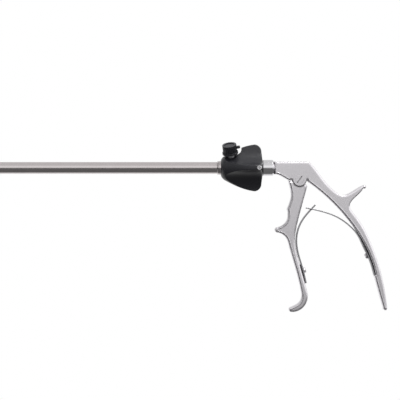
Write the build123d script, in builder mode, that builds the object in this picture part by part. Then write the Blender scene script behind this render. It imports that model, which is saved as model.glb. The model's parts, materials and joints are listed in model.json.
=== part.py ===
from build123d import *
import math
import os

os.makedirs("parts", exist_ok=True)

# Surgical clip applier for keyhole surgery. Lengths are in millimetres.
# The origin lies on the shaft axis at the front face of the nose ring. The shaft
# points along -X, the handle hangs towards -Z, and the near side faces -Y.

# Shaft
working_length = 330.0
shaft_radius = 5.0
tube_wall = 0.8
tube_seat_step = 0.2
rod_radius = 1.5
nose_ring_setback = 0.3
nose_ring_length = 3.3
nose_ring_radius = 5.9
nose_ring_chamfer = 0.4
nose_groove_station = 1.4
nose_groove_depth = 0.35
nose_groove_width = 0.7

# Jaws
jaw_reach = 22.0
jaw_width = 5.4
jaw_height = 3.7
jaw_gap = 0.5
jaw_open_angle = 18.0
jaw_channel_width = 3.0
jaw_channel_depth = 1.1
jaw_tail_thickness = 1.3
jaw_eye_radius = 3.2
jaw_tip_height = 1.3
jaw_edge_radius = 0.5
jaw_lip = 2.2
jaw_bow = 0.9
jaw_boss_radius = 0.9
jaw_pin_radius = 0.9
pin_half_length = 4.7
pin_chamfer = 0.2
cam_rim = 0.95
fork_radius = 4.8
fork_nose_radius = 3.4
fork_slot_depth = 13.0
fork_length = 18.0
fork_spigot_length = 8.0
fork_bore_radius = 2.3
drive_pin_radius = 0.8
drive_pin_setback = 9.0
blade_thickness = 1.3
blade_height = 4.0
blade_spigot_radius = 0.8
blade_spigot_length = 5.0

# Rotation knob and flush port
knob_length = 35.0
knob_radius = 19.8
knob_nose_radius = 6.7
knob_scoop_radius = 18.0
knob_scoop_depth = 9.2
knob_edge_radius = 1.1
knob_lobes = 4
knob_crest_station = 28.6
sleeve_radius = 6.2
sleeve_tube_depth = 26.0
chamber_length = 6.0
chamber_radius = 2.9
seal_length = 2.0
journal_radius = 3.6
flange_radius = 4.5
flange_length = 1.6
grub_radius = 2.0
grub_setback = 3.1
grub_length = 10.6
port_station = 12.9
port_forward_lean = 7.5
port_side_turn = 24.0
port_neck_radius = 3.25
port_bore_radius = 2.1
tube_port_radius = 1.0
port_seat = 5.7
port_top = 19.5
gasket_thickness = 0.8
port_floor = 10.4
port_spot_radius = 10.1
port_spot_fillet = 4.5
cap_floor = 13.3
cap_length = 7.9
cap_radius = 6.0
cap_flange_radius = 6.7
cap_flange_length = 1.5
cap_flutes = 24
cap_flute_radius = 0.35
cap_dish_radius = 4.2
cap_dish_depth = 0.5
lug_drop = 2.2
lug_thickness = 1.6
lug_reach = 1.9
lug_half_width = 1.5
lug_hole_radius = 0.75

# Collar
collar_length = 9.9
collar_radius = 6.8
collar_chamfer = 1.7
collar_lip = 2.4
collar_front_round = 0.4
spigot_radius = 4.6

# Handle
handle_thickness = 10.0
handle_edge_radius = 1.4
lever_edge_radius = 1.5
head_top = 5.3
head_bottom = 5.4
pivot_setback = 21.0
pivot_drop = 9.7
ear_radius = 5.6
head_slot_width = 4.8
pivot_head_radius = 3.4
pivot_head_depth = 1.5
pivot_shank_radius = 2.0
head_slot_front = 6.7
head_slot_rear = 6.9
head_slot_top = 3.4
screw_slot_turn = 54.0
screw_slot_width = 0.9
screw_slot_depth = 0.7

# Lever and ball drive
squeeze_angle = 20.0
ball_radius = 2.2
ball_neck_radius = 1.1
neck_length = 8.0
horn_width = 1.9
horn_overlap = 0.2
notch_depth = 2.4
neck_slot_depth = 3.6
tang_rim = 0.6

# Springs
spring_thickness = 1.2
rear_spring_thickness = 1.0
spring_width = 7.0
spring_tongue_width = 2.4
spring_screw_head_radius = 2.4
spring_screw_head_height = 1.8
spring_screw_radius = 1.25
spring_screw_depth = 2.6
rear_screw_share = 0.2
front_screw_share = 0.15
hook_slot_length = 7.0
tongue_length = 5.0

# Clearances
running_clearance = 0.05
side_clearance = 0.1
layer_clearance = 0.08
body_gap = 0.3
seat_clearance = 0.01
screw_seat_gap = 0.06

# Places worked out from the sizes above
half_squeeze = math.radians(squeeze_angle) / 2
drive_arm = pivot_drop
rod_travel = 2 * drive_arm * math.tan(half_squeeze)
jaw_pivot_x = jaw_reach - working_length
fork_rear_x = jaw_pivot_x + fork_length
drive_pin_x = jaw_pivot_x + drive_pin_setback
tube_seat_radius = shaft_radius - tube_seat_step
knob_front_x = nose_ring_length
knob_rear_x = knob_front_x + knob_length
collar_front_x = knob_rear_x + body_gap
head_front_x = collar_front_x + collar_length
pivot_x = head_front_x + pivot_setback
ball_rest_x = pivot_x + drive_arm * math.tan(half_squeeze)
tube_rear_x = knob_front_x + sleeve_tube_depth
flange_front_x = collar_front_x + collar_lip + running_clearance
flange_rear_x = flange_front_x + flange_length
spigot_front_x = flange_rear_x + running_clearance

port_tilt = math.radians(port_forward_lean)
port_turn = math.radians(port_side_turn)
port_direction = Vector(
    -math.sin(port_tilt),
    -math.cos(port_tilt) * math.sin(port_turn),
    math.cos(port_tilt) * math.cos(port_turn),
)
port_origin = Vector(port_station, 0, 0)


def port_plane(distance):
    """A plane across the port axis, at a distance from the shaft axis."""
    return Plane(
        origin=port_origin + port_direction * distance,
        x_dir=Vector(1, 0, 0) - port_direction * port_direction.X,
        z_dir=port_direction,
    )


def from_pivot(points):
    """Places (x, z) measured from the lever's pivot on the handle's plane."""
    return [(pivot_x + x, z - pivot_drop) for x, z in points]


def write(piece, name):
    """Label one finished piece and write it under its own name."""
    piece.part.label = name
    export_step(piece.part, f"parts/{name}.step")


def ring_profile(start, end, inner, outer):
    """A rectangle in the plane of the shaft axis, turned about X to make a ring."""
    with Locations(((start + end) / 2, (inner + outer) / 2)):
        Rectangle(end - start, outer - inner)


# Outer tube, turned down where ring and sleeve hold it, with the flush hole under the port
with BuildPart() as outer_tube:
    with BuildSketch(Plane.XZ):
        ring_profile(fork_rear_x, 0, shaft_radius - tube_wall, shaft_radius)
        ring_profile(0, tube_rear_x, shaft_radius - tube_wall, tube_seat_radius)
    revolve(axis=Axis.X)
    with BuildSketch(port_plane(0)):
        Circle(tube_port_radius)
    extrude(amount=shaft_radius + tube_wall, mode=Mode.SUBTRACT)
write(outer_tube, "outer_tube")

# Nose ring, pressed on the tube in front of the knob
with BuildPart() as nose_ring:
    with BuildSketch(Plane.XZ):
        ring_profile(nose_ring_setback, nose_ring_length, tube_seat_radius + seat_clearance,
                     nose_ring_radius)
        with Locations((nose_groove_station, nose_ring_radius)):
            Rectangle(nose_groove_width, 2 * nose_groove_depth, mode=Mode.SUBTRACT)
    revolve(axis=Axis.X)
    chamfer(nose_ring.edges().group_by(Axis.X)[0].sort_by(SortBy.RADIUS)[-1], nose_ring_chamfer)
write(nose_ring, "nose_ring")


# Fork at the tube's end: two cheeks, a slot for the jaw tails and guide slots
fork_slot_width = blade_thickness + 2 * jaw_tail_thickness + 4 * layer_clearance
with BuildPart() as fork:
    with BuildSketch(Plane.XZ):
        ring_profile(jaw_pivot_x - fork_nose_radius, fork_rear_x, 0, fork_radius)
        ring_profile(fork_rear_x, fork_rear_x + fork_spigot_length, 0,
                     shaft_radius - tube_wall - seat_clearance)
    revolve(axis=Axis.X)
    with BuildSketch(Plane.YZ.offset(jaw_pivot_x)):
        Circle(fork_bore_radius)
    extrude(amount=fork_length + fork_spigot_length, mode=Mode.SUBTRACT)
    with BuildSketch(Plane.XZ):
        with BuildLine():
            shoulder = (jaw_pivot_x + shaft_radius, shaft_radius)
            top = (jaw_pivot_x, fork_nose_radius)
            nose = (jaw_pivot_x - fork_nose_radius, 0)
            toe = (jaw_pivot_x, -fork_nose_radius)
            heel = (jaw_pivot_x + shaft_radius, -shaft_radius)
            outer = 2 * shaft_radius
            Line(shoulder, top)
            ThreePointArc(top, nose, toe)
            Line(toe, heel)
            Polyline(heel, (heel[0], -outer), (nose[0] - outer, -outer),
                     (nose[0] - outer, outer), (shoulder[0], outer), shoulder)
        make_face()
    extrude(amount=outer, both=True, mode=Mode.SUBTRACT)
    with BuildSketch(Plane.XY):
        with Locations((jaw_pivot_x + (fork_slot_depth - outer) / 2, 0)):
            Rectangle(fork_slot_depth + outer, fork_slot_width)
    extrude(amount=outer, both=True, mode=Mode.SUBTRACT)
    with BuildSketch(Plane.XZ):
        with Locations((jaw_pivot_x, 0)):
            Circle(jaw_pin_radius + seat_clearance)
        with Locations((drive_pin_x - rod_travel / 2, 0)):
            SlotCenterToCenter(rod_travel, 2 * (drive_pin_radius + running_clearance))
    extrude(amount=outer, both=True, mode=Mode.SUBTRACT)
write(fork, "fork")

with BuildPart() as jaw_pivot_pin:
    with BuildSketch(Plane.XZ.offset(-pin_half_length)):
        with Locations((jaw_pivot_x, 0)):
            Circle(jaw_pin_radius)
    extrude(amount=2 * pin_half_length)
    chamfer(jaw_pivot_pin.edges().filter_by(GeomType.CIRCLE), pin_chamfer)
write(jaw_pivot_pin, "jaw_pivot_pin")

with BuildPart() as drive_pin:
    with BuildSketch(Plane.XZ.offset(-pin_half_length + pin_chamfer)):
        with Locations((drive_pin_x, 0)):
            Circle(drive_pin_radius)
    extrude(amount=2 * (pin_half_length - pin_chamfer))
    chamfer(drive_pin.edges().filter_by(GeomType.CIRCLE), pin_chamfer)
write(drive_pin, "drive_pin")


def cam_point(share):
    """The drive pin's place in the jaw's own plane after a share of its travel."""
    reach = drive_pin_setback - share * rod_travel
    angle = math.radians(jaw_open_angle) * (1 - share)
    return (-reach * math.cos(angle), reach * math.sin(angle))


def jaw_plane(side):
    """The opened jaw's plane: x runs to its tip and y away from the other jaw."""
    angle = math.radians(jaw_open_angle)
    return Plane(
        origin=(jaw_pivot_x, 0, 0),
        x_dir=(-math.cos(angle), 0, side * math.sin(angle)),
        z_dir=(0, side, 0),
    )


# Jaws: each has a clip channel in front of the pivot and a cam tail behind it
for side, name in ((1, "jaw_upper"), (-1, "jaw_lower")):
    plane = jaw_plane(side)
    layer = blade_thickness / 2 + layer_clearance
    face = jaw_gap / 2
    back = fork_nose_radius + body_gap
    cam_wall = drive_pin_radius + running_clearance + cam_rim
    with BuildPart() as jaw:
        with BuildSketch(plane):
            with BuildLine():
                rear_face = (math.sqrt(back**2 - face**2), face)
                rear_top = (back * math.cos(math.radians(45)), back * math.sin(math.radians(45)))
                Line(rear_face, (jaw_reach, face))
                Line((jaw_reach, face), (jaw_reach, jaw_tip_height))
                Spline((jaw_reach, jaw_tip_height), (jaw_reach * 0.93, jaw_height * 0.82),
                       (jaw_reach * 0.72, jaw_height), (jaw_reach * 0.42, jaw_height * 0.97),
                       (back + 1.5, jaw_height * 0.83), rear_top)
                ThreePointArc(rear_top, (back * math.cos(math.radians(25)),
                                         back * math.sin(math.radians(25))), rear_face)
            make_face()
        extrude(amount=jaw_width / 2, both=True)
        fillet(jaw.edges().filter_by(GeomType.BSPLINE), jaw_edge_radius)
        with BuildSketch(plane):
            with BuildLine():
                bow_front = (jaw_reach - jaw_lip, face)
                bow_rear = (back + jaw_lip, face)
                middle = ((bow_front[0] + bow_rear[0]) / 2, face + jaw_bow)
                ThreePointArc(bow_front, middle, bow_rear)
                Line(bow_rear, bow_front)
            make_face()
        extrude(amount=jaw_width, both=True, mode=Mode.SUBTRACT)
        with BuildSketch(plane):
            with Locations(((back + jaw_reach) / 2, face + jaw_channel_depth / 2)):
                Rectangle(jaw_reach - back - jaw_lip, jaw_channel_depth)
        extrude(amount=jaw_channel_width / 2, both=True, mode=Mode.SUBTRACT)
        with BuildSketch(plane):
            with Locations((jaw_reach - jaw_lip, face)):
                Circle(jaw_boss_radius)
        extrude(amount=jaw_width, both=True, mode=Mode.SUBTRACT)
        with BuildSketch(plane.offset(layer)):
            Circle(jaw_eye_radius)
            for share in (0, 1):
                with Locations(cam_point(share)):
                    Circle(cam_wall)
            make_hull()
            with BuildLine():
                Polyline((0, face), (back + jaw_lip, face), (back + jaw_lip, jaw_height * 0.7),
                         (0, jaw_eye_radius), (0, face))
            make_face()
        extrude(amount=jaw_tail_thickness)
        with BuildSketch(plane):
            Circle(jaw_pin_radius + running_clearance)
            with BuildLine():
                ThreePointArc(cam_point(0), cam_point(0.5), cam_point(1))
            trace(line_width=2 * (drive_pin_radius + running_clearance))
            for share in (0, 1):
                with Locations(cam_point(share)):
                    Circle(drive_pin_radius + running_clearance)
        extrude(amount=jaw_width, both=True, mode=Mode.SUBTRACT)
    write(jaw, name)

# Push rod: a flat blade in front and a ball behind
blade_rear_x = jaw_pivot_x + fork_length + 1
with BuildPart() as rod_blade:
    with BuildSketch(Plane.XZ):
        with Locations((drive_pin_x, 0)):
            Circle(blade_height / 2)
        with Locations(((drive_pin_x + blade_rear_x) / 2, 0)):
            Rectangle(blade_rear_x - drive_pin_x, blade_height)
        with Locations((drive_pin_x, 0)):
            Circle(drive_pin_radius + seat_clearance, mode=Mode.SUBTRACT)
    extrude(amount=blade_thickness / 2, both=True)
    with BuildSketch(Plane.YZ.offset(blade_rear_x - blade_thickness)):
        Circle(blade_spigot_radius)
    extrude(amount=blade_thickness + blade_spigot_length)
write(rod_blade, "rod_blade")

with BuildPart() as drive_rod:
    with BuildSketch(Plane.XZ):
        neck_front = ball_rest_x - neck_length
        ring_profile(blade_rear_x, neck_front, 0, rod_radius)
        ring_profile(neck_front, ball_rest_x, 0, ball_neck_radius)
    revolve(axis=Axis.X)
    with Locations((ball_rest_x, 0, 0)):
        Sphere(ball_radius)
    with BuildSketch(Plane.YZ.offset(blade_rear_x)):
        Circle(blade_spigot_radius + seat_clearance)
    extrude(amount=blade_spigot_length + seat_clearance, mode=Mode.SUBTRACT)
write(drive_rod, "drive_rod")

# Sleeve inside the knob: it holds the tube and turns in the collar
chamber_rear_x = tube_rear_x + chamber_length
with BuildPart() as sleeve:
    with BuildSketch(Plane.XZ):
        ring_profile(knob_front_x, knob_rear_x - body_gap, 0, sleeve_radius)
        ring_profile(knob_rear_x - body_gap, flange_rear_x, 0, journal_radius)
        ring_profile(flange_front_x, flange_rear_x, 0, flange_radius)
    revolve(axis=Axis.X)
    with BuildSketch(Plane.XZ):
        ring_profile(knob_front_x, tube_rear_x, 0, tube_seat_radius + seat_clearance)
        ring_profile(tube_rear_x, chamber_rear_x, 0, chamber_radius)
        ring_profile(chamber_rear_x, flange_rear_x, 0, rod_radius + body_gap)
    revolve(axis=Axis.X, mode=Mode.SUBTRACT)
    with BuildSketch(port_plane(0)):
        Circle(port_neck_radius + seat_clearance)
    extrude(amount=2 * sleeve_radius, mode=Mode.SUBTRACT)
write(sleeve, "sleeve")

with BuildPart() as rod_guide:
    with BuildSketch(Plane.XZ):
        ring_profile(tube_rear_x, chamber_rear_x - seal_length,
                     rod_radius + running_clearance, chamber_radius - seat_clearance)
    revolve(axis=Axis.X)
write(rod_guide, "rod_guide")

with BuildPart() as rod_seal:
    with BuildSketch(Plane.XZ):
        ring_profile(chamber_rear_x - seal_length, chamber_rear_x,
                     rod_radius + seat_clearance, chamber_radius - seat_clearance)
    revolve(axis=Axis.X)
    chamfer(rod_seal.edges().filter_by(GeomType.CIRCLE), seal_length / 8)
write(rod_seal, "rod_seal")

# Round pocket that the upper lobe leaves for the cap, straight across the knob
pocket_plane = Plane(
    origin=port_origin,
    x_dir=(math.cos(port_tilt), 0, math.sin(port_tilt)),
    z_dir=(-math.sin(port_tilt), 0, math.cos(port_tilt)),
)
with BuildPart() as port_pocket:
    with BuildSketch(pocket_plane.offset(port_floor)):
        Circle(port_spot_radius)
    extrude(amount=2 * knob_radius)
    fillet(port_pocket.edges().sort_by(Axis.Z)[0], port_spot_fillet)

# Rotation knob: a flared body of revolution with lobes left between scoops
with BuildPart() as rotation_knob:
    with BuildSketch(Plane.XZ):
        with BuildLine():
            bore = sleeve_radius + seat_clearance
            crest = (knob_front_x + knob_crest_station, knob_radius)
            nose_end = (knob_front_x + 3.1, knob_nose_radius + 3.7)
            back_top = (knob_rear_x - 0.9, knob_radius - 6.2)
            back_low = (knob_rear_x, bore + 0.9)
            Polyline((knob_rear_x, bore), (knob_front_x, bore), (knob_front_x, knob_nose_radius))
            ThreePointArc((knob_front_x, knob_nose_radius),
                          (knob_front_x + 1.3, knob_nose_radius + 2.1), nose_end)
            Spline(nose_end, (knob_front_x + 13.3, knob_radius - 4.3),
                   (knob_front_x + 20.0, knob_radius - 1.8), crest)
            ThreePointArc(crest, (knob_rear_x - 2.3, knob_radius - 2.2), back_top)
            Polyline(back_top, back_low, (knob_rear_x, bore))
        make_face()
    revolve(axis=Axis.X)
    with BuildSketch(Plane.YZ.offset(knob_front_x)):
        scoop_reach = knob_radius - knob_scoop_depth + knob_scoop_radius
        with PolarLocations(scoop_reach, knob_lobes, start_angle=180 / knob_lobes):
            Circle(knob_scoop_radius)
    extrude(amount=knob_length, mode=Mode.SUBTRACT)
    fillet(rotation_knob.edges().filter_by(GeomType.BSPLINE), knob_edge_radius)
    add(port_pocket.part, mode=Mode.SUBTRACT)
    with BuildSketch(port_plane(0)):
        Circle(port_neck_radius + seat_clearance)
    extrude(amount=knob_radius, mode=Mode.SUBTRACT)
    with BuildSketch(Plane.XZ):
        with Locations((knob_rear_x - grub_setback, 0)):
            Circle(grub_radius + seat_clearance)
    extrude(amount=knob_radius, mode=Mode.SUBTRACT)
write(rotation_knob, "rotation_knob")

with BuildPart() as grub_screw:
    with BuildSketch(Plane.XZ.offset(sleeve_radius)):
        with Locations((knob_rear_x - grub_setback, 0)):
            Circle(grub_radius)
    extrude(amount=grub_length)
    with BuildSketch(Plane.XZ.offset(sleeve_radius + grub_length)):
        with Locations((knob_rear_x - grub_setback, 0)):
            RegularPolygon(grub_radius * 0.5, 6)
    extrude(amount=-grub_radius, mode=Mode.SUBTRACT)
write(grub_screw, "grub_screw")

# Flush port: a steel neck in the sleeve, with a fluted cap on it
with BuildPart() as port_neck:
    with BuildSketch(port_plane(port_seat)):
        Circle(port_neck_radius)
        Circle(port_bore_radius, mode=Mode.SUBTRACT)
    extrude(amount=port_top - port_seat)
write(port_neck, "port_neck")

with BuildPart() as port_gasket:
    with BuildSketch(port_plane(port_top)):
        Circle(port_neck_radius)
        Circle(port_bore_radius + body_gap, mode=Mode.SUBTRACT)
    extrude(amount=gasket_thickness)
write(port_gasket, "port_gasket")

with BuildPart() as port_cap:
    with BuildSketch(port_plane(cap_floor)):
        Circle(cap_radius)
        with PolarLocations(cap_radius, cap_flutes):
            Circle(cap_flute_radius, mode=Mode.SUBTRACT)
    extrude(amount=cap_length)
    with BuildSketch(port_plane(cap_floor)):
        Circle(cap_flange_radius)
    extrude(amount=cap_flange_length)
    with BuildSketch(port_plane(cap_floor)):
        Circle(port_neck_radius + running_clearance)
    extrude(amount=port_top + gasket_thickness - cap_floor, mode=Mode.SUBTRACT)
    with BuildSketch(port_plane(cap_floor + cap_length)):
        Circle(cap_dish_radius)
    extrude(amount=-cap_dish_depth, mode=Mode.SUBTRACT)
    with BuildSketch(port_plane(cap_floor + cap_length - lug_drop)):
        with Locations((cap_radius + lug_reach / 2, 0)):
            SlotOverall(2 * lug_reach, 2 * lug_half_width)
            with Locations((lug_reach / 4, 0)):
                Circle(lug_hole_radius, mode=Mode.SUBTRACT)
    extrude(amount=-lug_thickness)
write(port_cap, "port_cap")

# Collar: screwed on the head's spigot, it holds the sleeve's flange
with BuildPart() as collar:
    with BuildSketch(Plane.XZ):
        ring_profile(collar_front_x, collar_front_x + collar_lip,
                     journal_radius + running_clearance, collar_radius)
        ring_profile(collar_front_x + collar_lip, head_front_x,
                     spigot_radius + seat_clearance, collar_radius)
    revolve(axis=Axis.X)
    outer_edges = collar.edges().filter_by(GeomType.CIRCLE).group_by(SortBy.RADIUS)[-1]
    chamfer(outer_edges.sort_by(Axis.X)[-1], collar_chamfer)
    fillet(outer_edges.sort_by(Axis.X)[0], collar_front_round)
write(collar, "collar")

# Springs: two leaves, screwed to the arms, whose tips hook into each other
rear_spring_line = from_pivot([
    (63.2, -80.8), (58.8, -66.8), (54.0, -56.7), (49.0, -46.5), (42.6, -39.4), (34.0, -33.0),
    (21.8, -27.9), (5.6, -24.1),
])
front_spring_line = from_pivot([
    (5.6, -87.5), (2.3, -74.0), (-1.7, -59.6), (-2.5, -51.2), (-1.6, -44.0), (2.2, -34.9),
    (10.2, -25.0), (13.5, -21.6),
])


def leaf(line, thickness, half_width):
    """A flat strip that follows a line on the handle's plane."""
    with BuildPart() as strip:
        with BuildSketch(Plane.XZ):
            with BuildLine():
                Spline(*line)
            trace(line_width=thickness)
        extrude(amount=half_width, both=True)
    return strip.part


def screw_plane(line, share, side, lift):
    """A plane on one face of a leaf, square to it, at a share of its length."""
    curve = Spline(*line)
    place = curve @ share
    tangent = curve % share
    normal = Vector(-tangent.Y, 0, tangent.X) * side
    return Plane(
        origin=Vector(place.X, 0, place.Y) + normal * lift,
        x_dir=(0, 1, 0),
        z_dir=normal,
    )


rear_screw = screw_plane(
    rear_spring_line, rear_screw_share, 1, rear_spring_thickness / 2 + screw_seat_gap
)
front_screw = screw_plane(
    front_spring_line, front_screw_share, -1, spring_thickness / 2 + screw_seat_gap
)
tip_x = (front_spring_line[-1][0] + front_spring_line[-2][0]) / 2

with BuildPart() as rear_spring:
    add(leaf(rear_spring_line, rear_spring_thickness, spring_width / 2))
    with BuildSketch(Plane.XY.offset(rear_spring_line[-1][1])):
        with Locations((tip_x - hook_slot_length / 2, 0)):
            Rectangle(hook_slot_length, spring_tongue_width + 2 * body_gap)
    extrude(amount=2 * spring_width, both=True, mode=Mode.SUBTRACT)
    with BuildSketch(rear_screw):
        Circle(spring_screw_radius + running_clearance)
    extrude(amount=spring_width, both=True, mode=Mode.SUBTRACT)
write(rear_spring, "rear_spring")

with BuildPart() as front_spring:
    add(leaf(front_spring_line, spring_thickness, spring_width / 2))
    with BuildSketch(Plane.XY.offset(front_spring_line[-1][1])):
        for side in (1, -1):
            with Locations((front_spring_line[-1][0], side * spring_width / 2)):
                Rectangle(2 * tongue_length, spring_width - spring_tongue_width)
    extrude(amount=spring_width, both=True, mode=Mode.SUBTRACT)
    with BuildSketch(front_screw):
        Circle(spring_screw_radius + running_clearance)
    extrude(amount=spring_width, both=True, mode=Mode.SUBTRACT)
write(front_spring, "front_spring")

for plane, thickness, name in (
    (rear_screw, rear_spring_thickness, "rear_spring_screw"),
    (front_screw, spring_thickness, "front_spring_screw"),
):
    with BuildPart() as screw:
        with BuildSketch(plane):
            Circle(spring_screw_head_radius)
        extrude(amount=spring_screw_head_height)
        fillet(screw.edges().filter_by(GeomType.CIRCLE).sort_by_distance(plane.origin)[-1],
               spring_screw_head_height / 2)
        with BuildSketch(plane):
            Circle(spring_screw_radius)
        extrude(amount=-(thickness + spring_screw_depth))
        with BuildSketch(plane.offset(spring_screw_head_height)):
            Rectangle(2 * spring_screw_head_radius, screw_slot_width)
        extrude(amount=-screw_slot_depth, mode=Mode.SUBTRACT)
    write(screw, name)

# Handle: head, thumb spur and rear arm in one forging
with BuildPart() as handle:
    with BuildSketch(Plane.XZ):
        with BuildLine():
            nape = (pivot_x + 8.0, head_top)
            (spur_root, spur_top, spur_end, spur_low, palm, arm_low, arm_end, arm_in,
             seat_end, crotch, ear_rear, ear_front, chin) = from_pivot([
                 (37.0, -13.2), (53.5, -5.1), (55.7, -5.2), (53.7, -7.7), (42.5, -21.6),
                 (73.9, -108.6), (72.5, -110.3), (70.6, -108.6), (63.0, -81.2),
                 (7.4, -2.2), (6.2, -0.4), (-3.0, -0.7), (-9.2, -0.7)])
            Line((head_front_x, head_top), nape)
            Spline(nape, *from_pivot([(21.8, -2.2), (28.5, -8.9)]), spur_root, *from_pivot([(43.5, -10.8)]),
                   spur_top)
            ThreePointArc(spur_top, spur_end, spur_low)
            Spline(spur_low, *from_pivot([(49.6, -12.7), (44.6, -17.6)]), palm,
                   *from_pivot([(47.1, -30.5), (58.9, -50.8), (69.3, -81.2)]), arm_low)
            ThreePointArc(arm_low, arm_end, arm_in)
            Spline(arm_in, *from_pivot([(67.1, -96.4)]), seat_end)
            seat_top = from_pivot([(64.2, -80.2)])[0]
            Line(seat_end, seat_top)
            Spline(seat_top, *from_pivot([(57.5, -60.1), (46.0, -40.6), (26.2, -17.8)]), crotch)
            Polyline(crotch, ear_rear, ear_front, chin)
            Spline(chin, *from_pivot([(-12.5, 1.1), (-15.8, 3.0)]),
                   (head_front_x, -head_bottom))
            Line((head_front_x, -head_bottom), (head_front_x, head_top))
        make_face()
    extrude(amount=handle_thickness / 2, both=True)
    for flank in (0, -1):
        fillet(handle.faces().filter_by(Axis.Y).sort_by(Axis.Y)[flank].edges(), handle_edge_radius)
    with BuildSketch(Plane.XZ):
        with Locations((pivot_x, -pivot_drop)):
            Circle(ear_radius)
    extrude(amount=handle_thickness / 2, both=True)
    with BuildSketch(Plane.XZ):
        with BuildLine():
            Spline(*rear_spring_line)
        trace(line_width=rear_spring_thickness + 2 * seat_clearance)
    extrude(amount=handle_thickness, both=True, mode=Mode.SUBTRACT)
    with BuildSketch(rear_screw):
        Circle(spring_screw_radius + seat_clearance)
    extrude(amount=-(rear_spring_thickness + spring_screw_depth + seat_clearance),
            mode=Mode.SUBTRACT)
    with BuildSketch(Plane.XZ):
        with Locations((pivot_x + (head_slot_rear - head_slot_front) / 2,
                        head_slot_top - pivot_drop)):
            Rectangle(head_slot_front + head_slot_rear, 2 * pivot_drop)
    extrude(amount=head_slot_width / 2, both=True, mode=Mode.SUBTRACT)
    with BuildSketch(Plane.YZ.offset(spigot_front_x)):
        Circle(spigot_radius)
    extrude(until=Until.NEXT)
    with BuildSketch(Plane.YZ.offset(spigot_front_x)):
        Circle(rod_radius + body_gap)
    extrude(amount=pivot_x - spigot_front_x, mode=Mode.SUBTRACT)
    with BuildSketch(Plane.XZ):
        with Locations((pivot_x, -pivot_drop)):
            Circle(pivot_shank_radius + seat_clearance)
    extrude(amount=handle_thickness, both=True, mode=Mode.SUBTRACT)
    with BuildSketch(Plane.XZ.offset(handle_thickness / 2)):
        with Locations((pivot_x, -pivot_drop)):
            Circle(pivot_head_radius + seat_clearance)
    extrude(amount=-pivot_head_depth, mode=Mode.SUBTRACT)
write(handle, "handle")

# Pivot screw: its head is flush in the near ear and its shank crosses the lever
with BuildPart() as pivot_screw:
    with BuildSketch(Plane.XZ.offset(handle_thickness / 2 - seat_clearance)):
        with Locations((pivot_x, -pivot_drop)):
            Circle(pivot_head_radius)
    extrude(amount=-(pivot_head_depth - seat_clearance))
    with BuildSketch(Plane.XZ.offset(handle_thickness / 2 - pivot_head_depth)):
        with Locations((pivot_x, -pivot_drop)):
            Circle(pivot_shank_radius)
    extrude(amount=-(handle_thickness - pivot_head_depth))
    with BuildSketch(Plane.XZ.offset(handle_thickness / 2)):
        with Locations((pivot_x, -pivot_drop)):
            Rectangle(2 * pivot_head_radius, screw_slot_width, rotation=screw_slot_turn)
    extrude(amount=-screw_slot_depth, mode=Mode.SUBTRACT)
write(pivot_screw, "pivot_screw")

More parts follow.
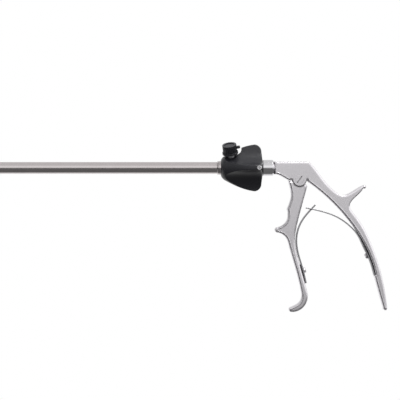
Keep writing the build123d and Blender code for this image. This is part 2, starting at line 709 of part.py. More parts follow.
# Finger lever: full-width below the head, a thin tang with a fork for the ball above
tang_half = head_slot_width / 2 - side_clearance
with BuildPart() as lever:
    with BuildSketch(Plane.XZ):
        with BuildLine():
            (brow, ridge, spur_a, spur_b, spur_c, hook_a, hook_b, hook_c,
             heel_top, heel_inner) = from_pivot([
                 (-9.5, -1.0), (-10.5, -24.7), (-19.6, -40.6), (-20.8, -42.7), (-19.0, -44.9),
                 (-8.3, -108.3), (-8.9, -110.3), (-7.0, -111.8), (6.6, -5.6), (4.4, -3.6)])
            Spline(brow, *from_pivot([(-7.9, -7.2), (-7.1, -12.7), (-8.0, -18.4)]), ridge)
            Spline(ridge, *from_pivot([(-9.9, -29.5), (-11.3, -35.6), (-14.4, -38.6)]), spur_a)
            ThreePointArc(spur_a, spur_b, spur_c)
            Spline(spur_c, *from_pivot([(-15.2, -46.0), (-11.8, -48.7), (-8.9, -56.0), (-3.8, -73.6),
                                        (1.2, -93.9), (1.7, -98.5), (0.2, -103.2), (-4.6, -106.6)]),
                   hook_a)
            ThreePointArc(hook_a, hook_b, hook_c)
            Spline(hook_c, *from_pivot([(-2.3, -111.3), (4.2, -106.8), (7.0, -99.8), (5.6, -91.3),
                                        (0.5, -73.2), (-3.2, -57.9), (-3.8, -48.6), (-2.6, -40.6),
                                        (2.6, -20.3)]), heel_top)
            Polyline(heel_top, heel_inner, brow)
        make_face()
    extrude(amount=handle_thickness / 2, both=True)
    for flank in (0, -1):
        fillet(lever.faces().filter_by(Axis.Y).sort_by(Axis.Y)[flank].edges(), lever_edge_radius)
    with BuildSketch(Plane.XZ):
        with Locations((pivot_x, -pivot_drop)):
            Circle(ear_radius + body_gap)
    extrude(amount=handle_thickness, both=True, mode=Mode.SUBTRACT)
    with BuildSketch(Plane.XZ):
        with Locations((pivot_x, -pivot_drop)):
            Circle(ear_radius + tang_rim)
        with Locations(Location((pivot_x, -pivot_drop), squeeze_angle / -2)):
            with Locations((0, (drive_arm + ball_radius + horn_overlap) / 2)):
                Rectangle(2 * (ball_radius + running_clearance + horn_width),
                          drive_arm + ball_radius + horn_overlap)
    extrude(amount=tang_half, both=True)
    socket = Plane(
        origin=(ball_rest_x, 0, 0),
        x_dir=(math.cos(half_squeeze), 0, -math.sin(half_squeeze)),
        z_dir=(0, -1, 0),
    )
    with BuildSketch(socket):
        with Locations((0, ball_radius)):
            Rectangle(2 * (ball_radius + running_clearance), 2 * ball_radius)
        Circle(ball_radius + running_clearance)
        with Locations((0, -notch_depth / 2)):
            Rectangle(2 * (ball_radius + running_clearance), notch_depth)
    extrude(amount=handle_thickness, both=True, mode=Mode.SUBTRACT)
    with BuildSketch(socket):
        with Locations((-ball_radius - horn_width, ball_radius - neck_slot_depth / 2)):
            Rectangle(2 * (ball_radius + horn_width), neck_slot_depth + 2 * ball_radius)
    extrude(amount=ball_neck_radius + body_gap, both=True, mode=Mode.SUBTRACT)
    with BuildSketch(Plane.XZ):
        with BuildLine():
            Spline(*front_spring_line)
        trace(line_width=spring_thickness + 2 * seat_clearance)
    extrude(amount=handle_thickness, both=True, mode=Mode.SUBTRACT)
    with BuildSketch(front_screw):
        Circle(spring_screw_radius + seat_clearance)
    extrude(amount=-(spring_thickness + spring_screw_depth + seat_clearance),
            mode=Mode.SUBTRACT)
    with BuildSketch(Plane.XZ):
        with Locations((pivot_x, -pivot_drop)):
            Circle(pivot_shank_radius + running_clearance)
    extrude(amount=handle_thickness, both=True, mode=Mode.SUBTRACT)
write(lever, "lever")
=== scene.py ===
"""Looks of a surgical clip applier, in metres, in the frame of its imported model."""

import json
import logging
import math
from dataclasses import dataclass
from enum import Enum

import bpy
import numpy as np
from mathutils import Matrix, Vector


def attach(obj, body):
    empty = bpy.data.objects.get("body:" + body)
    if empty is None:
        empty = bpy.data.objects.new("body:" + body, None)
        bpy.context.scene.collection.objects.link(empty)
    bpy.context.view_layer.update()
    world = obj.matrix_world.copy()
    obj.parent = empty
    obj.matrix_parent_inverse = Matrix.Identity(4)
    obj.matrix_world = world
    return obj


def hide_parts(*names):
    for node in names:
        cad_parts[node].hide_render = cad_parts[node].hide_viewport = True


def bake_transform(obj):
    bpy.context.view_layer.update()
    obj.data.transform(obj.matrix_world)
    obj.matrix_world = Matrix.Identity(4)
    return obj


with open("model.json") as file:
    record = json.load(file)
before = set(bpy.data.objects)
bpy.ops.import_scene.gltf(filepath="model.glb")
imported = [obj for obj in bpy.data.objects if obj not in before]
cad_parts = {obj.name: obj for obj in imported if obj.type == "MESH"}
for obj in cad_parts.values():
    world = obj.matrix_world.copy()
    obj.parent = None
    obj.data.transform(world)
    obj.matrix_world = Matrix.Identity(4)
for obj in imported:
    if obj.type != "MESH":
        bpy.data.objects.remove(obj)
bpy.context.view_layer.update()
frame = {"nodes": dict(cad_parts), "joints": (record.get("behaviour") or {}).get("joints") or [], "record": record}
MM = 0.001
EDGE_SAMPLES = 8
FINE_SMUDGE_SCALE = 5.3
FINE_SMUDGE_SHARE = 0.4

log = logging.getLogger("clip_applier")


def grey(level: float) -> tuple[float, float, float, float]:
    """A linear grey.

    Args:
        level: Its brightness, where 1 is white.

    Returns:
        The colour with an alpha of 1.
    """
    return (level, level, level, 1.0)


def linear(red: float, green: float, blue: float) -> tuple[float, float, float, float]:
    """Turns an sRGB colour, from 0 to 255, into a linear one.

    Args:
        red: The red part.
        green: The green part.
        blue: The blue part.

    Returns:
        The linear colour with an alpha of 1.
    """
    parts = np.array([red, green, blue]) / 255
    low = parts / 12.92
    high = ((parts + 0.055) / 1.055) ** 2.4
    return (*np.where(parts <= 0.04045, low, high).tolist(), 1.0)


class Sheet:
    """A node tree that is filled by name."""

    def __init__(self, tree: bpy.types.NodeTree) -> None:
        """Empties a tree and keeps it.

        Args:
            tree: The tree to fill.
        """
        self.tree = tree
        tree.nodes.clear()

    def add(self, kind: str, settings: dict | None = None, **values: object) -> bpy.types.Node:
        """Adds one node.

        Args:
            kind: The node's type.
            settings: Properties of the node itself.
            values: Input sockets, with underscores for spaces. A socket is linked, and
                anything else is set as its plain value.

        Returns:
            The new node.
        """
        node = self.tree.nodes.new(kind)
        for key, value in (settings or {}).items():
            setattr(node, key, value)
        for key, value in values.items():
            socket = self.find(node, key)
            if isinstance(value, bpy.types.NodeSocket):
                self.tree.links.new(value, socket)
            else:
                socket.default_value = value
        return node

    @staticmethod
    def find(node: bpy.types.Node, key: str) -> bpy.types.NodeSocket:
        """Finds an input by name, or by number after an underscore.

        Args:
            node: The node to search.
            key: The socket's name with underscores, or in0, in1 and so on.

        Returns:
            The input socket.
        """
        if key.startswith("in") and key[2:].isdigit():
            return node.inputs[int(key[2:])]
        return node.inputs[key.replace("_", " ")]

    def math(self, operation: str, *values: object) -> bpy.types.NodeSocket:
        """Adds a Math node and returns its result.

        Args:
            operation: The operation's name.
            values: Its inputs, plain or linked.

        Returns:
            The result's socket.
        """
        inputs = {f"in{number}": value for number, value in enumerate(values)}
        return self.add("ShaderNodeMath", {"operation": operation}, **inputs).outputs[0]

    def mix(self, first: object, second: object, factor: object, blend: str = "MIX"
            ) -> bpy.types.NodeSocket:
        """Mixes two colours. A colour Mix node keeps them at its inputs 6 and 7.

        Args:
            first: The colour at a factor of 0, plain or linked.
            second: The colour at a factor of 1, plain or linked.
            factor: The share of the second colour, plain or linked.
            blend: How the two are blended.

        Returns:
            The mixed colour's socket.
        """
        settings = {"data_type": "RGBA", "blend_type": blend}
        return self.add("ShaderNodeMix", settings, Factor=factor, in6=first,
                        in7=second).outputs[2]

    def ease(self, value: object, low: object, high: object, to_low: object = 0.0,
             to_high: object = 1.0) -> bpy.types.NodeSocket:
        """Maps a value smoothly from one range to another.

        Args:
            value: The value, plain or linked.
            low: The value that gives to_low.
            high: The value that gives to_high.
            to_low: The result's start.
            to_high: The result's end.

        Returns:
            The result's socket.
        """
        return self.add("ShaderNodeMapRange", {"interpolation_type": "SMOOTHSTEP"}, Value=value,
                        From_Min=low, From_Max=high, To_Min=to_low,
                        To_Max=to_high).outputs["Result"]

    def effect(self, tree: bpy.types.NodeTree, **values: object) -> bpy.types.NodeOutputs:
        """Adds a shared effect.

        Args:
            tree: The effect's node group.
            values: Its inputs, as add takes them.

        Returns:
            The group's outputs, by name.
        """
        return self.add("ShaderNodeGroup", {"node_tree": tree}, **values).outputs

    def ray_masks(self) -> tuple[bpy.types.NodeSocket, bpy.types.NodeSocket]:
        """Tells rays apart by what sends them.

        Returns:
            The masks of camera rays, and of glossy and transmission rays together.
        """
        rays = self.add("ShaderNodeLightPath").outputs
        gloss = self.math("MAXIMUM", rays["Is Glossy Ray"], rays["Is Transmission Ray"])
        return rays["Is Camera Ray"], gloss


def group_tree(name: str, inputs: dict[str, float | tuple], outputs: dict[str, str]
               ) -> tuple[Sheet, bpy.types.Node, bpy.types.Node]:
    """Makes a shader node group with named sockets.

    Args:
        name: The group's name.
        inputs: Each input's name and default value. A tuple makes a vector.
        outputs: Each output's name and socket type.

    Returns:
        The sheet to fill, its input node and its output node.
    """
    tree = bpy.data.node_groups.new(name, "ShaderNodeTree")
    for label, default in inputs.items():
        kind = "NodeSocketVector" if isinstance(default, tuple) else "NodeSocketFloat"
        tree.interface.new_socket(label, in_out="INPUT", socket_type=kind).default_value = default
    for label, kind in outputs.items():
        tree.interface.new_socket(label, in_out="OUTPUT", socket_type=kind)
    sheet = Sheet(tree)
    return sheet, sheet.add("NodeGroupInput"), sheet.add("NodeGroupOutput")


class Effects:
    """The surface effects that several finishes share, each one a node group."""

    def __init__(self) -> None:
        """Builds every group once."""
        self.grain = self.make_grain()
        self.smudge = self.make_smudge()
        self.reach = self.make_reach()
        self.crevice = self.make_crevice()
        self.softness = self.make_softness(lever_pivot())

    @staticmethod
    def make_grain() -> bpy.types.NodeTree:
        """Fine surface grain on softened edges: stretched noise, as a value and as a bump.

        Returns:
            The group, with inputs Stretch, Depth, Strength and Edge Radius.
        """
        sheet, given, result = group_tree(
            "Grain", {"Stretch": (1000.0, 1000.0, 1000.0), "Depth": 0.00002, "Strength": 0.3,
                      "Edge Radius": 0.0005},
            {"Value": "NodeSocketFloat", "Normal": "NodeSocketVector"})
        place = sheet.add("ShaderNodeTexCoord").outputs["Object"]
        spread = sheet.add("ShaderNodeVectorMath", {"operation": "MULTIPLY"},
                           in0=place, in1=given.outputs["Stretch"]).outputs[0]
        noise = sheet.add("ShaderNodeTexNoise", Vector=spread, Scale=1.0, Detail=4.0,
                          Roughness=0.6).outputs["Fac"]
        softened = sheet.add("ShaderNodeBevel", {"samples": EDGE_SAMPLES},
                             Radius=given.outputs["Edge Radius"]).outputs["Normal"]
        bump = sheet.add("ShaderNodeBump", Strength=given.outputs["Strength"],
                         Distance=given.outputs["Depth"], Height=noise,
                         Normal=softened).outputs["Normal"]
        sheet.tree.links.new(noise, result.inputs["Value"])
        sheet.tree.links.new(bump, result.inputs["Normal"])
        return sheet.tree

    @staticmethod
    def make_smudge() -> bpy.types.NodeTree:
        """Broad handling marks: two noises of different size, multiplied and spread out.

        Returns:
            The group, with inputs Scale and Contrast.
        """
        sheet, given, result = group_tree(
            "Smudge", {"Scale": 40.0, "Contrast": 1.5}, {"Mask": "NodeSocketFloat"})
        place = sheet.add("ShaderNodeTexCoord").outputs["Object"]
        broad = sheet.add("ShaderNodeTexNoise", Vector=place, Scale=given.outputs["Scale"],
                          Detail=3.0).outputs["Fac"]
        fine_scale = sheet.math("MULTIPLY", given.outputs["Scale"], FINE_SMUDGE_SCALE)
        fine = sheet.add("ShaderNodeTexNoise", Vector=place, Scale=fine_scale,
                         Detail=2.0).outputs["Fac"]
        mixed = sheet.math("MULTIPLY_ADD", fine, FINE_SMUDGE_SHARE,
                           sheet.math("MULTIPLY", broad, 1 - FINE_SMUDGE_SHARE))
        centred = sheet.math("SUBTRACT", mixed, 0.5)
        spread = sheet.math("MULTIPLY_ADD", centred, given.outputs["Contrast"], 0.5)
        clamped = sheet.math("MINIMUM", sheet.math("MAXIMUM", spread, 0.0), 1.0)
        sheet.tree.links.new(clamped, result.inputs["Mask"])
        return sheet.tree

    @staticmethod
    def make_reach() -> bpy.types.NodeTree:
        """Distance from the shaft axis, as a mask that rises from one radius to another.

        Returns:
            The group, with inputs From and To.
        """
        sheet, given, result = group_tree(
            "Reach", {"From": 0.0, "To": 0.02}, {"Mask": "NodeSocketFloat"})
        place = sheet.add("ShaderNodeTexCoord").outputs["Object"]
        parts = sheet.add("ShaderNodeSeparateXYZ", Vector=place).outputs
        square = sheet.math("ADD", sheet.math("POWER", parts["Y"], 2.0),
                            sheet.math("POWER", parts["Z"], 2.0))
        radius = sheet.math("SQRT", square)
        mask = sheet.ease(radius, given.outputs["From"], given.outputs["To"])
        sheet.tree.links.new(mask, result.inputs["Mask"])
        return sheet.tree

    @staticmethod
    def make_crevice() -> bpy.types.NodeTree:
        """Slots, grooves and narrow gaps, found by ambient occlusion, as a mask for painted shade.

        Returns:
            The group, with inputs Reach, From and To. Its mask is 1 in a crevice.
        """
        sheet, given, result = group_tree(
            "CreviceShade", {"Reach": 0.0012, "From": 0.75, "To": 0.25}, {"Mask": "NodeSocketFloat"})
        open_share = sheet.add("ShaderNodeAmbientOcclusion", {"samples": EDGE_SAMPLES},
                               Distance=given.outputs["Reach"]).outputs["AO"]
        mask = sheet.ease(open_share, given.outputs["From"], given.outputs["To"])
        sheet.tree.links.new(mask, result.inputs["Mask"])
        return sheet.tree

    @staticmethod
    def make_softness(pivot: tuple[float, float, float]) -> bpy.types.NodeTree:
        """How far edges are softened: fully on the flanks, and hardly at the box joint.

        Args:
            pivot: The lever's pivot, around which the edges stay crisp.

        Returns:
            The group, with inputs Crisp, Soft, From and To, all in metres.
        """
        sheet, given, result = group_tree(
            "Softness", {"Crisp": 0.0001, "Soft": 0.0016, "From": 0.0046, "To": 0.0066},
            {"Radius": "NodeSocketFloat"})
        place = sheet.add("ShaderNodeTexCoord").outputs["Object"]
        parts = sheet.add("ShaderNodeSeparateXYZ", Vector=place).outputs
        along = sheet.math("POWER", sheet.math("SUBTRACT", parts["X"], pivot[0]), 2.0)
        up = sheet.math("POWER", sheet.math("SUBTRACT", parts["Z"], pivot[2]), 2.0)
        distance = sheet.math("SQRT", sheet.math("ADD", along, up))
        radius = sheet.ease(distance, given.outputs["From"], given.outputs["To"],
                            given.outputs["Crisp"], given.outputs["Soft"])
        sheet.tree.links.new(radius, result.inputs["Radius"])
        return sheet.tree


@dataclass(frozen=True)
class SteelFinish:
    """Stainless steel, with grain, handling marks, a little colour variation and painted shade in its crevices."""

    name: str
    shade: tuple[float, float, float]
    dull_shade: tuple[float, float, float]
    roughness: tuple[float, float]
    stretch: tuple[float, float, float]
    grain_depth: float
    grain_strength: float
    edge_radius: float
    smudge_scale: float = 45.0
    smudge_contrast: float = 1.6
    crevice_reach: float = 0.0012
    # The dark grey painted into crevices as shade.
    soil: tuple[float, float, float] = (58, 55, 56)

    def build(self, effects: Effects) -> bpy.types.Material:
        """Builds the material.

        Args:
            effects: The shared node groups.

        Returns:
            The finished material.
        """
        material = bpy.data.materials.new(self.name)
        material.use_nodes = True
        sheet = Sheet(material.node_tree)
        soft = sheet.effect(effects.softness, Soft=self.edge_radius)["Radius"]
        grain = sheet.effect(effects.grain, Stretch=self.stretch, Depth=self.grain_depth,
                             Strength=self.grain_strength, Edge_Radius=soft)
        smudge = sheet.effect(effects.smudge, Scale=self.smudge_scale,
                              Contrast=self.smudge_contrast)["Mask"]
        crevice = sheet.effect(effects.crevice, Reach=self.crevice_reach)["Mask"]
        colour = sheet.mix(linear(*self.shade), linear(*self.dull_shade), smudge)
        # Painted shade: crevices found by ambient occlusion are darkened towards a dark grey.
        shaded = sheet.mix(colour, linear(*self.soil), crevice)
        patchy = sheet.math("MULTIPLY_ADD", grain["Value"], 0.5,
                            sheet.math("MULTIPLY", smudge, 0.5))
        rough = sheet.add("ShaderNodeMapRange", Value=patchy, To_Min=self.roughness[0],
                          To_Max=self.roughness[1]).outputs["Result"]
        shader = sheet.add("ShaderNodeBsdfPrincipled", Metallic=1.0, Roughness=rough,
                           Base_Color=shaded, Normal=grain["Normal"])
        sheet.add("ShaderNodeOutputMaterial", Surface=shader.outputs[0])
        return material


@dataclass(frozen=True)
class PlasticFinish:
    """Moulded plastic or rubber, with a fine texture and paler places away from the shaft axis: rubbing, and on
    the knob's crests also a painted highlight.
    """

    name: str
    shade: tuple[float, float, float]
    worn_shade: tuple[float, float, float]
    roughness: tuple[float, float]
    grain_scale: float
    grain_depth: float
    grain_strength: float
    worn_from: float
    worn_to: float
    worn_share: float
    smudge_scale: float = 60.0
    smudge_contrast: float = 1.8

    def build(self, effects: Effects) -> bpy.types.Material:
        """Builds the material.

        Args:
            effects: The shared node groups.

        Returns:
            The finished material.
        """
        material = bpy.data.materials.new(self.name)
        material.use_nodes = True
        sheet = Sheet(material.node_tree)
        grain = sheet.effect(effects.grain, Stretch=(self.grain_scale,) * 3,
                             Depth=self.grain_depth, Strength=self.grain_strength)
        smudge = sheet.effect(effects.smudge, Scale=self.smudge_scale,
                              Contrast=self.smudge_contrast)["Mask"]
        reach = sheet.effect(effects.reach, From=self.worn_from, To=self.worn_to)["Mask"]
        # Paler towards the outside, broken up by smudge: rubbing, and on the knob's crests a painted highlight.
        wear_and_highlight = sheet.math("MULTIPLY", reach, smudge)
        share = sheet.math("MULTIPLY", wear_and_highlight, self.worn_share)
        colour = sheet.mix(linear(*self.shade), linear(*self.worn_shade), share)
        rough = sheet.add("ShaderNodeMapRange", Value=smudge,
                          To_Min=self.roughness[0], To_Max=self.roughness[1]).outputs["Result"]
        shader = sheet.add("ShaderNodeBsdfPrincipled", Metallic=0.0, Roughness=rough,
                           Base_Color=colour, Normal=grain["Normal"])
        sheet.add("ShaderNodeOutputMaterial", Surface=shader.outputs[0])
        return material


class Finish(Enum):
    """The finishes of the instrument, by the record's slot names."""

    SATIN_STEEL = SteelFinish("satin_steel", (239, 236, 240), (231, 228, 232), (0.27, 0.36),
                              (1500.0, 1500.0, 1500.0), 0.00001, 0.05, 0.0017)
    BRUSHED_TUBE = SteelFinish("brushed_tube", (210, 204, 204), (200, 193, 193), (0.16, 0.24),
                               (3000.0, 120.0, 120.0), 0.00001, 0.08, 0.0003)
    POLISHED_STEEL = SteelFinish("polished_steel", (228, 227, 229), (214, 213, 216),
                                 (0.1, 0.18), (900.0, 900.0, 900.0), 0.00001, 0.06, 0.0003)
    SPRING_STEEL = SteelFinish("spring_steel", (184, 183, 186), (165, 164, 168), (0.26, 0.4),
                               (1200.0, 300.0, 1200.0), 0.00001, 0.12, 0.0002)
    # Its paler crests are partly rubbing and partly a painted highlight.
    BLACK_PLASTIC = PlasticFinish("black_plastic", (33, 33, 38), (50, 50, 57), (0.3, 0.42),
                                  1800.0, 0.00002, 0.12, 0.0165, 0.0195, 0.35)
    SEAL_RUBBER = PlasticFinish("seal_rubber", (52, 52, 54), (66, 66, 68), (0.5, 0.65),
                                2500.0, 0.00002, 0.2, 0.001, 0.004, 0.4)
    BEARING_PLASTIC = PlasticFinish("bearing_plastic", (224, 223, 216), (236, 235, 229),
                                    (0.3, 0.42), 2500.0, 0.00002, 0.15, 0.001, 0.003, 0.5)


def smooth_line(points: np.ndarray, count: int) -> np.ndarray:
    """A natural cubic spline through points, its pieces joined with an even second derivative.

    Args:
        points: The points, one row each.
        count: How many samples to take.

    Returns:
        The samples, evenly spaced in chord length.
    """
    steps = np.linalg.norm(np.diff(points, axis=0), axis=1)
    knots = np.concatenate(([0.0], np.cumsum(steps)))
    size = len(points)
    system = np.eye(size)
    right = np.zeros_like(points)
    inner = np.arange(1, size - 1)
    system[inner, inner - 1] = steps[:-1]
    system[inner, inner] = 2 * (steps[:-1] + steps[1:])
    system[inner, inner + 1] = steps[1:]
    slope = np.diff(points, axis=0) / steps[:, None]
    right[1:-1] = 6 * np.diff(slope, axis=0)
    bend = np.linalg.solve(system, right)
    at = np.linspace(0, knots[-1], count)
    piece = np.clip(np.searchsorted(knots, at, side="right") - 1, 0, size - 2)
    width = steps[piece][:, None]
    after = ((at - knots[piece]) / steps[piece])[:, None]
    before = 1 - after
    return (before * points[piece] + after * points[piece + 1]
            + (before**3 - before) * bend[piece] * width**2 / 6
            + (after**3 - after) * bend[piece + 1] * width**2 / 6)


def line_normals(line: np.ndarray) -> np.ndarray:
    """Unit normals of a line on the XZ plane, a quarter turn from its direction.

    Args:
        line: The line, as rows of x and z.

    Returns:
        One normal for each row.
    """
    tangent = np.gradient(line, axis=0)
    tangent /= np.linalg.norm(tangent, axis=1)[:, None]
    return np.stack([-tangent[:, 1], tangent[:, 0]], axis=1)


def swept_strip(line: np.ndarray, half_width: np.ndarray, offset: float, thickness: float,
                bevel: float) -> tuple[np.ndarray, np.ndarray, np.ndarray]:
    """A flat strip along a line on the XZ plane, as a closed form with bevelled edges.

    Each ring is an eight-cornered section: the line's point, plus a share of the strip's
    thickness along the line's normal, plus a share of its half width along Y.

    Args:
        line: The strip's middle line, as rows of x and z.
        half_width: Half the width at each row.
        offset: How far the strip's middle stands from the plane, along Y.
        thickness: The strip's thickness.
        bevel: The size of its edge bevels.

    Returns:
        The vertices, the side faces and the end faces.
    """
    normal = line_normals(line)
    half = thickness / 2
    rise = np.array([half, half, half - bevel, bevel - half, -half, -half, bevel - half,
                     half - bevel])
    side = np.array([-1, 1, 1, 1, 1, -1, -1, -1])
    inset = np.array([bevel, bevel, 0, 0, bevel, bevel, 0, 0])
    flat = line[:, None, :] + normal[:, None, :] * rise[None, :, None]
    across = offset + side[None, :] * (half_width[:, None] - inset[None, :])
    rings = np.stack([flat[..., 0], across, flat[..., 1]], axis=2)
    rows, ring = rings.shape[:2]
    corner = np.arange(rows * ring).reshape(rows, ring)
    after = np.roll(corner, -1, axis=1)
    sides = np.stack([corner[:-1], after[:-1], after[1:], corner[1:]], axis=-1).reshape(-1, 4)
    ends = np.stack([corner[0][::-1], corner[-1]])
    return rings.reshape(-1, 3), sides, ends


def mesh_piece(name: str, vertices: np.ndarray, faces: list) -> bpy.types.Object:
    """Makes an object at the origin from vertices and faces, with its faces outwards.

    Args:
        name: The piece's name.
        vertices: Its points, one row each.
        faces: Its faces, as lists of point numbers.

    Returns:
        The new object.
    """
    mesh = bpy.data.meshes.new(name)
    mesh.from_pydata(vertices.tolist(), [], faces)
    mesh.validate()
    piece = bpy.data.objects.new(name, mesh)
    bpy.context.scene.collection.objects.link(piece)
    bpy.context.view_layer.objects.active = piece
    piece.select_set(True)
    bpy.ops.object.mode_set(mode="EDIT")
    bpy.ops.mesh.select_all(action="SELECT")
    bpy.ops.mesh.normals_make_consistent(inside=False)
    bpy.ops.object.mode_set(mode="OBJECT")
    piece.select_set(False)
    return piece


@dataclass(frozen=True)
class LeafSpring:
    """A leaf spring that is clamped on one arm and reaches towards the other.

    Its course is in millimetres from the lever's pivot, as x and z, and runs from the clamped end
    to the tip. The tip is either a fork or a tongue that passes between the fork's tines.
    """

    name: str
    node: str
    clamped_on: str
    bends_to: str
    course: tuple[tuple[float, float], ...]
    free_from: int
    thickness: float
    half_width: float = 3.5 * MM
    tongue_half: float = 1.2 * MM
    slot_half: float = 1.5 * MM
    tip_share: float = 0.0
    neck_share: float = 0.02
    forked: bool = False
    rows: int = 72
    bevel: float = 0.22 * MM
    # Where the dark strip of painted shadow beside the clamped end runs, and its size.
    seat_share: float = 0.3
    seat_side: int = 1
    seat_thickness: float = 1.0 * MM
    seat_half_width: float = 3.2 * MM

    def place_course(self, pivot: Vector) -> np.ndarray:
        """Puts the course in its place beside the lever's pivot.

        Args:
            pivot: The lever's pivot.

        Returns:
            The course's points in metres, as rows of x and z.
        """
        return np.array(self.course) * MM + np.array([pivot.x, pivot.z])

    def build(self, pivot: Vector) -> bpy.types.Object:
        """Builds the strip and hides the node it stands in for.

        Args:
            pivot: The lever's pivot, which the course is measured from.

        Returns:
            The finished piece.
        """
        course = self.place_course(pivot)
        line = smooth_line(course, self.rows)
        share = np.linspace(0, 1, self.rows)
        tip_row = int(self.rows * (1 - self.tip_share))
        strips = []
        if self.forked:
            tine = (self.half_width - self.slot_half) / 2
            stem = line[:tip_row + 1]
            prong = line[tip_row:]
            strips.append((stem, np.full(len(stem), self.half_width), 0.0))
            for side in (-1, 1):
                strips.append((prong, np.full(len(prong), tine),
                               side * (self.slot_half + tine)))
        else:
            fall = np.clip((share - (1 - self.tip_share)) / self.neck_share, 0, 1)
            width = self.half_width + (self.tongue_half - self.half_width) * fall
            strips.append((line, width, 0.0))
        points: list = []
        faces: list = []
        for stretch, half_width, offset in strips:
            vertices, sides, ends = swept_strip(stretch, half_width, offset, self.thickness,
                                                self.bevel)
            start = sum(len(part) for part in points)
            faces += (sides + start).tolist() + (ends + start).tolist()
            points.append(vertices)
        piece = mesh_piece(self.name, np.concatenate(points), faces)
        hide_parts(self.node)
        start = course[self.free_from]
        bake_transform(piece)
        return piece

    def build_seat(self, pivot: Vector) -> bpy.types.Object:
        """Builds a dark strip between the clamped end and its arm, a painted shadow in the gap there.

        Args:
            pivot: The lever's pivot, which the course is measured from.

        Returns:
            The finished piece.
        """
        line = smooth_line(self.place_course(pivot), self.rows)
        normal = line_normals(line) * self.seat_side
        last = int(self.rows * self.seat_share)
        share = np.linspace(0, 1, last)[:, None]
        lift = (self.thickness + self.seat_thickness) / 2 * (1 - 0.5 * share**4)
        middle = line[:last] + normal[:last] * lift
        vertices, sides, ends = swept_strip(middle, np.full(last, self.seat_half_width), 0.0,
                                            self.seat_thickness, self.bevel)
        # A dark strip in the rubber finish, standing in for the shadow in the gap beside the arm.
        shade_strip = mesh_piece(f"{self.name}_seat", vertices, sides.tolist() + ends.tolist())
        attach(shade_strip, self.clamped_on)
        return shade_strip


@dataclass(frozen=True)
class SpringPair:
    """The two leaf springs whose tips hook into each other."""

    pivot: tuple[float, float, float]

    def build(self, finishes: dict) -> list[bpy.types.Object]:
        """Builds and dresses both springs.

        Args:
            finishes: The materials by slot.

        Returns:
            The springs and their dark strips of painted shadow.
        """
        springs = (
            LeafSpring("rear_leaf", "rear_spring", "handle_body", "lever_body",
                       ((63.2, -80.8), (58.8, -66.8), (54.0, -56.7), (49.0, -46.5),
                        (42.6, -39.4), (34.0, -33.0), (21.8, -27.9), (5.6, -24.1)),
                       free_from=3, thickness=1.0 * MM, tip_share=0.07, forked=True,
                       seat_share=0.42, seat_side=-1),
            LeafSpring("front_leaf", "front_spring", "lever_body", "handle_body",
                       ((5.6, -87.5), (2.3, -74.0), (-1.7, -59.6), (-2.5, -51.2),
                        (-1.6, -44.0), (2.2, -34.9), (10.2, -25.0), (13.5, -21.6)),
                       free_from=3, thickness=1.2 * MM, tip_share=0.08, seat_share=0.24),
        )
        pieces = []
        for spring in springs:
            leaf = spring.build(Vector(self.pivot))
            leaf.data.materials.append(finishes["spring_steel"])
            # Each spring gets a dark strip of painted shadow by its clamped end.
            shade_strip = spring.build_seat(Vector(self.pivot))
            shade_strip.data.materials.append(finishes["seal_rubber"])
            pieces += [leaf, shade_strip]
        return pieces


@dataclass(frozen=True)
class Lamp:
    """A square lamp."""

    name: str
    place: tuple[float, float, float]
    size: float
    power: float
    in_gloss: bool


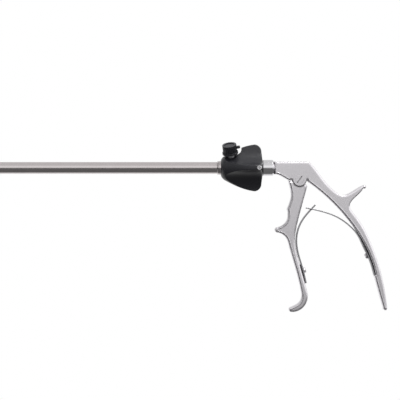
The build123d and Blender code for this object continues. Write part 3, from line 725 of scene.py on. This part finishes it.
@dataclass(frozen=True)
class Studio:
    """The camera, the floor and the light.

    The room is what gloss reflects. Its levels go from straight down at 0 to straight up at 1. It
    is darker on the left, brighter on the right, and even behind the object.
    """

    centre: tuple[float, float] = (-14.4 * MM, -27.1 * MM)
    picture_width: float = 338.0 * MM
    lens: float = 135.0
    sensor: float = 36.0
    clip_end: float = 50.0
    floor_height: float = -0.30
    floor_half: float = 4.0
    floor_level: float = 0.13
    plain_level: float = 0.62
    behind_level: float = 0.8
    left_level: float = 0.35
    right_level: float = 1.25
    room_levels: tuple[tuple[float, float], ...] = (
        (0.0, 0.4), (0.06, 0.22), (0.13, 0.18), (0.28, 0.26), (0.42, 0.42), (0.52, 0.76),
        (0.64, 1.16), (0.84, 0.84), (1.0, 0.74))
    aim: tuple[float, float, float] = (0.09, 0.0, -0.03)
    lamps: tuple[Lamp, ...] = (
        Lamp("key", (0.1, -0.7, 0.85), 0.9, 5.5, in_gloss=False),
        Lamp("fill", (-0.8, -0.7, 0.1), 0.7, 1.5, in_gloss=False),
        Lamp("rim", (0.24, -0.16, 0.5), 0.2, 1.0, in_gloss=True))

    def build(self) -> None:
        """Sets up everything around the object."""
        self.make_camera()
        self.make_world()
        self.make_floor()
        self.make_lamps()

    def make_camera(self) -> None:
        """Places a long lens square to the handle's plane."""
        camera = bpy.data.objects.new("camera", bpy.data.cameras.new("camera"))
        bpy.context.scene.collection.objects.link(camera)
        camera.data.lens = self.lens
        camera.data.sensor_width = self.sensor
        distance = self.picture_width * self.lens / self.sensor
        camera.location = (self.centre[0], -distance, self.centre[1])
        camera.rotation_euler = (math.pi / 2, 0, 0)
        camera.data.clip_end = self.clip_end
        bpy.context.scene.camera = camera
        bpy.context.scene.view_settings.view_transform = "Standard"

    def make_world(self) -> None:
        """A white backdrop for the camera, an even light, and a room that gloss reflects."""
        world = bpy.data.worlds.new("studio")
        bpy.context.scene.world = world
        world.use_nodes = True
        sheet = Sheet(world.node_tree)
        direction = sheet.add("ShaderNodeTexCoord").outputs["Generated"]
        parts = sheet.add("ShaderNodeSeparateXYZ", Vector=direction).outputs
        height = sheet.math("MULTIPLY_ADD", parts["Z"], 0.5, 0.5)
        ramp = sheet.add("ShaderNodeValToRGB", Fac=height)
        elements = ramp.color_ramp.elements
        while len(elements) < len(self.room_levels):
            elements.new(0.5)
        for element, (place, level) in zip(elements, self.room_levels):
            element.position = place
            element.color = grey(level)
        left = sheet.ease(parts["X"], -0.85, -0.35, self.left_level, 1.0)
        right = sheet.ease(parts["X"], 0.15, 0.7, 1.0, self.right_level)
        shade = sheet.math("MULTIPLY", left, right)
        front = sheet.mix(ramp.outputs["Color"], shade, 1.0, "MULTIPLY")
        room = sheet.mix(front, grey(self.behind_level), sheet.ease(parts["Y"], 0.0, 0.45))
        seen, gloss = sheet.ray_masks()
        plain = sheet.add("ShaderNodeBackground", Color=grey(self.plain_level))
        shiny = sheet.add("ShaderNodeBackground", Color=room)
        white = sheet.add("ShaderNodeBackground", Color=grey(1.0))
        first = sheet.add("ShaderNodeMixShader", Fac=gloss, in1=plain.outputs[0],
                          in2=shiny.outputs[0])
        last = sheet.add("ShaderNodeMixShader", Fac=seen, in1=first.outputs[0],
                         in2=white.outputs[0])
        sheet.add("ShaderNodeOutputWorld", Surface=last.outputs[0])

    def make_floor(self) -> None:
        """A wide floor below the object: white for the camera and, behind it, for gloss."""
        reach = self.floor_half
        corners = np.array([[-reach, -reach], [reach, -reach], [reach, reach], [-reach, reach]])
        points = np.column_stack([corners, np.full(4, self.floor_height)])
        mesh = bpy.data.meshes.new("floor")
        mesh.from_pydata(points.tolist(), [], [(0, 1, 2, 3)])
        floor = bpy.data.objects.new("floor", mesh)
        bpy.context.scene.collection.objects.link(floor)
        material = bpy.data.materials.new("floor")
        material.use_nodes = True
        sheet = Sheet(material.node_tree)
        place = sheet.add("ShaderNodeTexCoord").outputs["Object"]
        depth = sheet.add("ShaderNodeSeparateXYZ", Vector=place).outputs["Y"]
        behind = sheet.ease(depth, -0.02, 0.2)
        seen, gloss = sheet.ray_masks()
        share = sheet.math("MAXIMUM", seen, sheet.math("MULTIPLY", gloss, behind))
        paper = sheet.add("ShaderNodeBsdfPrincipled", Base_Color=grey(self.floor_level),
                          Roughness=0.9)
        white = sheet.add("ShaderNodeEmission", Color=grey(1.0), Strength=1.0)
        mixed = sheet.add("ShaderNodeMixShader", Fac=share, in1=paper.outputs[0],
                          in2=white.outputs[0])
        sheet.add("ShaderNodeOutputMaterial", Surface=mixed.outputs[0])
        mesh.materials.append(material)

    def make_lamps(self) -> None:
        """Two soft lamps in front, and a small one over the handle that lights its rims."""
        for lamp in self.lamps:
            light = bpy.data.lights.new(lamp.name, "AREA")
            light.size = lamp.size
            light.energy = lamp.power
            holder = bpy.data.objects.new(lamp.name, light)
            bpy.context.scene.collection.objects.link(holder)
            holder.location = lamp.place
            holder.visible_glossy = lamp.in_gloss
            aim = Vector(self.aim) - Vector(lamp.place)
            holder.rotation_euler = aim.to_track_quat("-Z", "Y").to_euler()


def dress_nodes(finishes: dict) -> None:
    """Gives every node of the frame the finish that the record names for it.

    Args:
        finishes: The materials by slot.
    """
    slots = {part["node"]: part["material_slot"] for part in frame["record"]["subparts"]}
    for name, node in frame["nodes"].items():
        node.data.materials.clear()
        node.data.materials.append(finishes[slots[name]])
        log.info("dressed %s in %s", name, slots[name])


def lever_pivot() -> tuple[float, float, float]:
    """Finds the lever's pivot.

    Returns:
        The place of the frame's joint lever_squeeze, in metres.

    Raises:
        ValueError: If the frame has no such joint.
    """
    for joint in frame["joints"]:
        if joint["name"] == "lever_squeeze":
            return tuple(joint["pos_m"])
    raise ValueError("the frame has no lever_squeeze joint")


def main() -> None:
    """Builds the studio, the finishes and every piece, in order."""
    logging.basicConfig(level=logging.INFO, format="%(message)s")
    Studio().build()
    effects = Effects()
    finishes = {finish.value.name: finish.value.build(effects) for finish in Finish}
    dress_nodes(finishes)
    for piece in SpringPair(lever_pivot()).build(finishes):
        log.info("built %s", piece.name)


if __name__ == "__main__":
    main()
